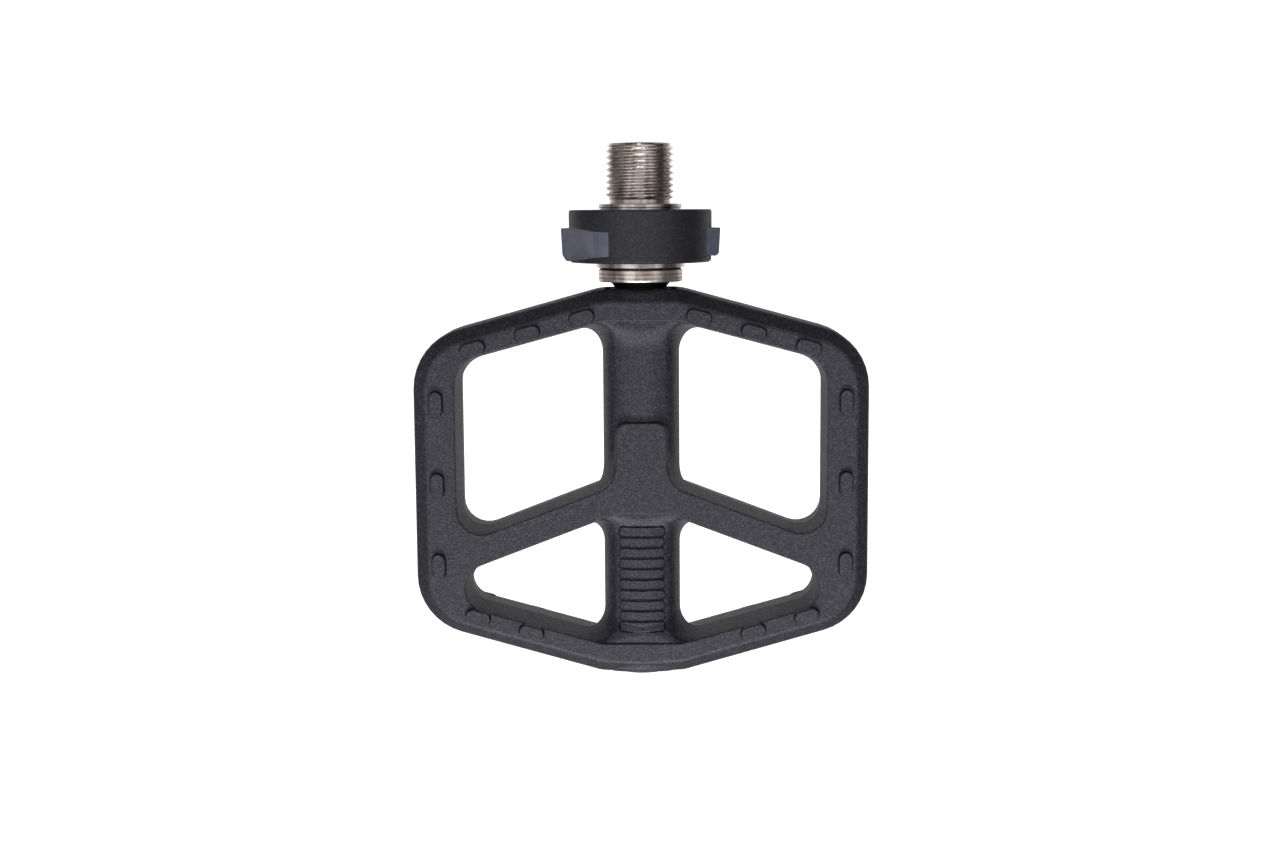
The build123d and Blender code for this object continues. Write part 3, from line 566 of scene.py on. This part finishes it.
# ---- materials --------------------------------------------------------------------------------
class Nodes:
    """Short way to build a node tree around a Principled shader."""

    def __init__(self, name):
        self.material = bpy.data.materials.new(name)
        self.material.use_nodes = True
        self.tree = self.material.node_tree
        self.shader = self.tree.nodes["Principled BSDF"]
        self.place = self.add("ShaderNodeTexCoord").outputs["Object"]

    def add(self, kind, **values):
        node = self.tree.nodes.new(kind)
        for key, value in values.items():
            setattr(node, key, value)
        return node

    def wire(self, source, target):
        self.tree.links.new(source, target)

    def stretch(self, scale):
        """Object coordinates scaled differently along X, Y and Z."""
        node = self.add("ShaderNodeMapping")
        node.inputs["Scale"].default_value = scale
        self.wire(self.place, node.inputs["Vector"])
        return node.outputs["Vector"]

    def facing_z(self):
        """Z of the surface's direction in the piece's own frame."""
        parts = self.add("ShaderNodeSeparateXYZ")
        self.wire(self.add("ShaderNodeTexCoord").outputs["Normal"], parts.inputs["Vector"])
        return parts.outputs["Z"]

    def noise(self, size_mm, detail=2.0, roughness=0.5, vector=None):
        """Noise whose blobs are about size_mm across."""
        node = self.add("ShaderNodeTexNoise")
        node.inputs["Scale"].default_value = 1 / (size_mm * MM)
        node.inputs["Detail"].default_value = detail
        node.inputs["Roughness"].default_value = roughness
        self.wire(vector or self.place, node.inputs["Vector"])
        return node.outputs["Fac"]

    def cells(self, size_mm):
        """A random value in each cell of a grain about size_mm across."""
        node = self.add("ShaderNodeTexVoronoi")
        node.inputs["Scale"].default_value = 1 / (size_mm * MM)
        self.wire(self.place, node.inputs["Vector"])
        split = self.add("ShaderNodeSeparateColor")
        self.wire(node.outputs["Color"], split.inputs["Color"])
        return split.outputs["Red"]

    def ramp(self, source, low, high, start=0.3, end=0.7):
        """Map a 0-1 value onto low-high between start and end."""
        node = self.add("ShaderNodeMapRange")
        node.interpolation_type = "SMOOTHSTEP"
        for key, value in (("From Min", start), ("From Max", end), ("To Min", low), ("To Max", high)):
            node.inputs[key].default_value = value
        self.wire(source, node.inputs["Value"])
        return node.outputs["Result"]

    def blend(self, factor, first, second):
        """Mix two colours, given as sockets or as linear RGB."""
        node = self.add("ShaderNodeMix", data_type="RGBA")
        for socket, value in ((node.inputs[0], factor), (node.inputs[6], first), (node.inputs[7], second)):
            if isinstance(value, bpy.types.NodeSocket):
                self.wire(value, socket)
            elif isinstance(value, (int, float)):
                socket.default_value = value
            else:
                socket.default_value = (*value, 1)
        return node.outputs[2]

    def math(self, operation, first, second):
        node = self.add("ShaderNodeMath", operation=operation)
        for socket, value in ((node.inputs[0], first), (node.inputs[1], second)):
            if isinstance(value, bpy.types.NodeSocket):
                self.wire(value, socket)
            else:
                socket.default_value = value
        return node.outputs[0]

    def relief(self, height, depth_mm, normal=None):
        """Bump from a height of 0-1, depth_mm deep."""
        node = self.add("ShaderNodeBump")
        node.inputs["Strength"].default_value = 1.0
        node.inputs["Distance"].default_value = depth_mm * MM
        self.wire(height, node.inputs["Height"])
        if normal is not None:
            self.wire(normal, node.inputs["Normal"])
        return node.outputs["Normal"]

    def finish(self, colour, roughness, normal=None, **values):
        for socket, value in (("Base Color", colour), ("Roughness", roughness), ("Normal", normal)):
            if isinstance(value, bpy.types.NodeSocket):
                self.wire(value, self.shader.inputs[socket])
            elif isinstance(value, (int, float)):
                self.shader.inputs[socket].default_value = value
            elif value is not None:
                self.shader.inputs[socket].default_value = (*value, 1)
        for key, value in values.items():
            self.shader.inputs[key.replace("_", " ")].default_value = value
        return self.material


def grained_moulding(name, dark, light, fleck, grain_mm, depth_mm, rough):
    """Moulded plastic with a spark-eroded grain and fine bright flecks."""
    n = Nodes(name)
    broad = n.ramp(n.noise(9.0, detail=3), 0.0, 1.0, 0.3, 0.7)
    grain = n.noise(grain_mm, detail=3, roughness=0.6)
    spots = n.ramp(n.cells(grain_mm * 0.9), 0.0, 1.0, 0.6, 1.0)
    base = n.blend(n.ramp(grain, 0.0, 1.0, 0.32, 0.68), dark, light)
    base = n.blend(n.math("MULTIPLY", broad, 0.12), base, light)
    colour = n.blend(spots, base, fleck)
    upright = n.math("ABSOLUTE", n.facing_z(), 0.0)
    wall = n.ramp(upright, 0.16, 0.0, 0.05, 0.5)        # side walls are duller than tread faces
    roughness = n.math("ADD", n.ramp(grain, rough + 0.08, rough - 0.08), wall)
    return n.finish(colour, roughness, n.relief(grain, depth_mm), Specular_IOR_Level=0.36,
                    Specular_Tint=(1.0, 0.97, 1.06, 1.0))


def turned_steel(name, colour, dark, rough):
    """Turned stainless steel: rings of fine tool marks, and soft streaks along the spindle that are partly an
    uneven stain and partly painted reflection bands.
    """
    n = Nodes(name)
    rings = n.noise(1.0, detail=3, vector=n.stretch((0.4, 14.0, 0.4)))
    # painted reflection: streaks stretched along the spindle blend the steel towards the dark colour in bands
    # like reflected surroundings, over an uneven stain
    stain_and_reflection = n.noise(2.2, detail=3, vector=n.stretch((0.8, 0.2, 0.8)))
    base = n.blend(n.ramp(stain_and_reflection, 0.0, 0.85, 0.4, 0.66), colour, dark)
    base = n.blend(n.ramp(rings, 0.0, 0.25), base, dark)
    roughness = n.ramp(rings, rough - 0.06, rough + 0.08)
    return n.finish(base, roughness, n.relief(rings, 0.01), Metallic=1.0)


def plain_steel(name, colour, rough, grain_mm=0.6):
    """Bright hidden steel with faint handling marks."""
    n = Nodes(name)
    marks = n.noise(grain_mm, detail=4)
    base = n.blend(n.ramp(marks, 0.0, 0.3), colour, tuple(0.6 * c for c in colour))
    return n.finish(base, n.ramp(marks, rough - 0.05, rough + 0.08), n.relief(marks, 0.004), Metallic=1.0)


def satin_plastic(name, dark, light, rough):
    """Smooth satin plastic with a slight flow pattern."""
    n = Nodes(name)
    flow = n.noise(3.0, detail=3)
    grain = n.noise(0.22, detail=2)
    base = n.blend(n.ramp(flow, 0.0, 1.0), dark, light)
    return n.finish(base, n.ramp(grain, rough - 0.04, rough + 0.06), n.relief(grain, 0.008))


def seal_rubber(name):
    """Black rubber with a dull, slightly dusty surface."""
    n = Nodes(name)
    dust = n.noise(0.7, detail=4)
    base = n.blend(n.ramp(dust, 0.0, 0.5, 0.5, 0.8), (0.0012, 0.0012, 0.0014), (0.005, 0.005, 0.0055))
    return n.finish(base, n.ramp(dust, 0.6, 0.8), n.relief(dust, 0.02), Specular_IOR_Level=0.15)


def dress(node, material):
    """Give a CAD node its material in every slot."""
    slots = frame["nodes"][node].data.materials
    if not slots:
        slots.append(material)
    for i in range(len(slots)):
        slots[i] = material


def dress_all():
    """Make every material and put it on its nodes; returns the platform's."""
    moulding = grained_moulding("charcoal_nylon", (0.0015, 0.0014, 0.0034), (0.0182, 0.017, 0.0248),
                                (0.033, 0.032, 0.041), 0.34, 0.12, 0.5)
    collar = grained_moulding("black_nylon", (0.003, 0.0028, 0.0045), (0.010, 0.0095, 0.0135),
                              (0.016, 0.016, 0.020), 0.36, 0.07, 0.5)
    lugs = satin_plastic("blue_grey_plastic", (0.057, 0.059, 0.09), (0.073, 0.075, 0.112), 0.42)
    cap = grained_moulding("cap_nylon", (0.006, 0.0055, 0.009), (0.017, 0.016, 0.023),
                           (0.03, 0.03, 0.037), 0.4, 0.06, 0.45)
    # the brownish dark colour of both steels is partly a painted reflection tint, carried by the streaks, and
    # partly the tone of the tool marks
    steel = turned_steel("turned_stainless", (0.68, 0.63, 0.60), (0.27, 0.22, 0.20), 0.27)
    soft_steel = turned_steel("satin_stainless", (0.67, 0.61, 0.58), (0.26, 0.20, 0.18), 0.38)
    spring = plain_steel("drawn_spring_wire", (0.42, 0.42, 0.45), 0.3)
    cam = plain_steel("stamped_steel", (0.5, 0.5, 0.51), 0.38)
    zinc = plain_steel("zinc_plate", (0.62, 0.63, 0.68), 0.33)
    race = plain_steel("bearing_steel", (0.74, 0.74, 0.76), 0.14)
    shield = plain_steel("pressed_steel", (0.56, 0.56, 0.58), 0.3)
    bronze = plain_steel("sintered_bronze", (0.55, 0.34, 0.16), 0.42, 0.3)
    rubber = seal_rubber("seal_rubber")
    cage_polymer = satin_plastic("ball_cage_polymer", (0.05, 0.11, 0.07), (0.07, 0.14, 0.09), 0.35)
    sets = {
        steel: ["adapter_body", "retainer_nut"], soft_steel: ["spindle"],
        rubber: ["collar_seal", "mouth_seal", "dust_seal"],
        spring: ["lock_wires", "return_spring", "bearing_circlip"], collar: ["collar_shell", "collar_cover"],
        lugs: ["grip_ring"], cam: ["cam_ring"], zinc: ["lock_washer", "lock_nut"], bronze: ["inboard_bush"],
        cap: ["end_cap"], moulding: ["cage"],
    }
    for place in ("inner", "outer"):
        for kind in ("inner_race", "outer_race", "balls"):
            sets.setdefault(race, []).append(f"{place}_bearing_{kind}")
        sets.setdefault(shield, []).append(f"{place}_bearing_shields")
        sets.setdefault(cage_polymer, []).append(f"{place}_bearing_ball_cage")
    for material, nodes in sets.items():
        for node in nodes:
            dress(node, material)
    return moulding


# ---- camera, floor and light ------------------------------------------------------------------
def camera():
    """Looks down on the tread from just beside the crank face, slightly towards the platform."""
    up = Vector((0, math.cos(CAMERA_TILT), -math.sin(CAMERA_TILT)))
    back = Vector((0, math.sin(CAMERA_TILT), math.cos(CAMERA_TILT)))
    right = Vector((1, 0, 0))
    rolled_right = right * math.cos(CAMERA_ROLL) - up * math.sin(CAMERA_ROLL)
    rolled_up = right * math.sin(CAMERA_ROLL) + up * math.cos(CAMERA_ROLL)
    turn = Matrix((rolled_right, rolled_up, back)).transposed().to_4x4()
    data = bpy.data.cameras.new("camera")
    data.lens = 50.0
    data.sensor_width = 36.0
    data.clip_start = 0.01
    view = bpy.data.objects.new("camera", data)
    view.matrix_world = Matrix.Translation(CAMERA_PLACE) @ Matrix.Rotation(CAMERA_LEAN, 4, "Y") @ turn
    bpy.context.scene.collection.objects.link(view)
    bpy.context.scene.camera = view


def area_light(name, place, aim, size, power):
    """A rectangular area light at place, turned to aim."""
    data = bpy.data.lights.new(name, "AREA")
    data.shape = "RECTANGLE"
    data.size, data.size_y = size
    data.energy = power
    lamp = bpy.data.objects.new(name, data)
    lamp.location = place
    lamp.rotation_euler = (Vector(aim) - Vector(place)).to_track_quat("-Z", "Y").to_euler()
    bpy.context.scene.collection.objects.link(lamp)


def sky():
    """Soft overhead light over a horizon that is dimmest to the right, with a dark spot for the lens."""
    world = bpy.data.worlds.new("sky")
    bpy.context.scene.world = world
    world.use_nodes = True
    tree = world.node_tree
    glow = tree.nodes["Background"]
    place = tree.nodes.new("ShaderNodeTexCoord")
    parts = tree.nodes.new("ShaderNodeSeparateXYZ")
    tree.links.new(place.outputs["Generated"], parts.inputs["Vector"])

    def span(source, low, high, start, end):
        node = tree.nodes.new("ShaderNodeMapRange")
        node.interpolation_type = "SMOOTHSTEP"
        for key, value in (("From Min", start), ("From Max", end), ("To Min", low), ("To Max", high)):
            node.inputs[key].default_value = value
        tree.links.new(source, node.inputs["Value"])
        return node.outputs["Result"]

    def combine(operation, first, second):
        node = tree.nodes.new("ShaderNodeMath")
        node.operation = operation
        tree.links.new(first, node.inputs[0])
        tree.links.new(second, node.inputs[1])
        return node.outputs[0]

    height = parts.outputs["Z"]
    cap = span(height, 0.0, SKY_TOP, 0.35, 0.85)
    lens = span(height, 1.0, 0.35, 0.975, 0.992)
    left = span(parts.outputs["X"], SKY_LEFT, SKY_RIGHT, -0.8, 0.8)
    front = span(parts.outputs["Y"], 1.0, 0.55, -0.6, 0.8)
    horizon = combine("MULTIPLY", left, front)
    total = combine("MULTIPLY", combine("ADD", cap, horizon), lens)
    glow.inputs["Color"].default_value = (1, 1, 1, 1)
    tree.links.new(total, glow.inputs["Strength"])


def studio():
    """White floor under the pedal, a soft sky and one large soft lamp on the outboard side."""
    mesh = bpy.data.meshes.new("floor")
    corners = [(-FLOOR_REACH, -FLOOR_REACH), (FLOOR_REACH, -FLOOR_REACH), (FLOOR_REACH, FLOOR_REACH),
               (-FLOOR_REACH, FLOOR_REACH)]
    mesh.from_pydata([(x, y, -FLOOR_DROP) for x, y in corners], [], [(0, 1, 2, 3)])
    floor = bpy.data.objects.new("floor", mesh)
    bpy.context.scene.collection.objects.link(floor)
    paint = Nodes("white_floor")
    distance = paint.add("ShaderNodeVectorMath", operation="LENGTH")
    offset = paint.add("ShaderNodeVectorMath", operation="SUBTRACT")
    offset.inputs[1].default_value = WHITE_CENTRE
    paint.wire(paint.place, offset.inputs[0])
    paint.wire(offset.outputs["Vector"], distance.inputs[0])
    fade = paint.ramp(distance.outputs["Value"], 0.0, 1.0, WHITE_RADIUS, 1.1)
    shade = paint.blend(paint.noise(40.0, detail=2), (0.93, 0.93, 0.93), (0.95, 0.95, 0.95))
    mesh.materials.append(paint.finish(paint.blend(fade, shade, (0.45, 0.45, 0.45)), 0.9))
    glow = paint.ramp(distance.outputs["Value"], FLOOR_GLOW, 0.0, WHITE_RADIUS, 0.9)
    paint.shader.inputs["Emission Color"].default_value = (1, 1, 1, 1)
    paint.wire(glow, paint.shader.inputs["Emission Strength"])

    sky()
    area_light("outboard_key", KEY_PLACE, PEDAL_MIDDLE, KEY_SIZE, KEY_WATTS)
    bpy.context.scene.view_settings.view_transform = "Standard"


camera()
studio()
moulding = dress_all()
for piece in (platform(), bumps()):
    piece.data.materials.append(moulding)
threaded_adapter()
soften("grip_ring", "soft_grip_ring", 0.28, lug_taper)
soften("collar_shell", "soft_collar_shell", 0.18)
soften("collar_cover", "soft_collar_cover", 0.16)
soften("end_cap", "soft_end_cap", 0.15)
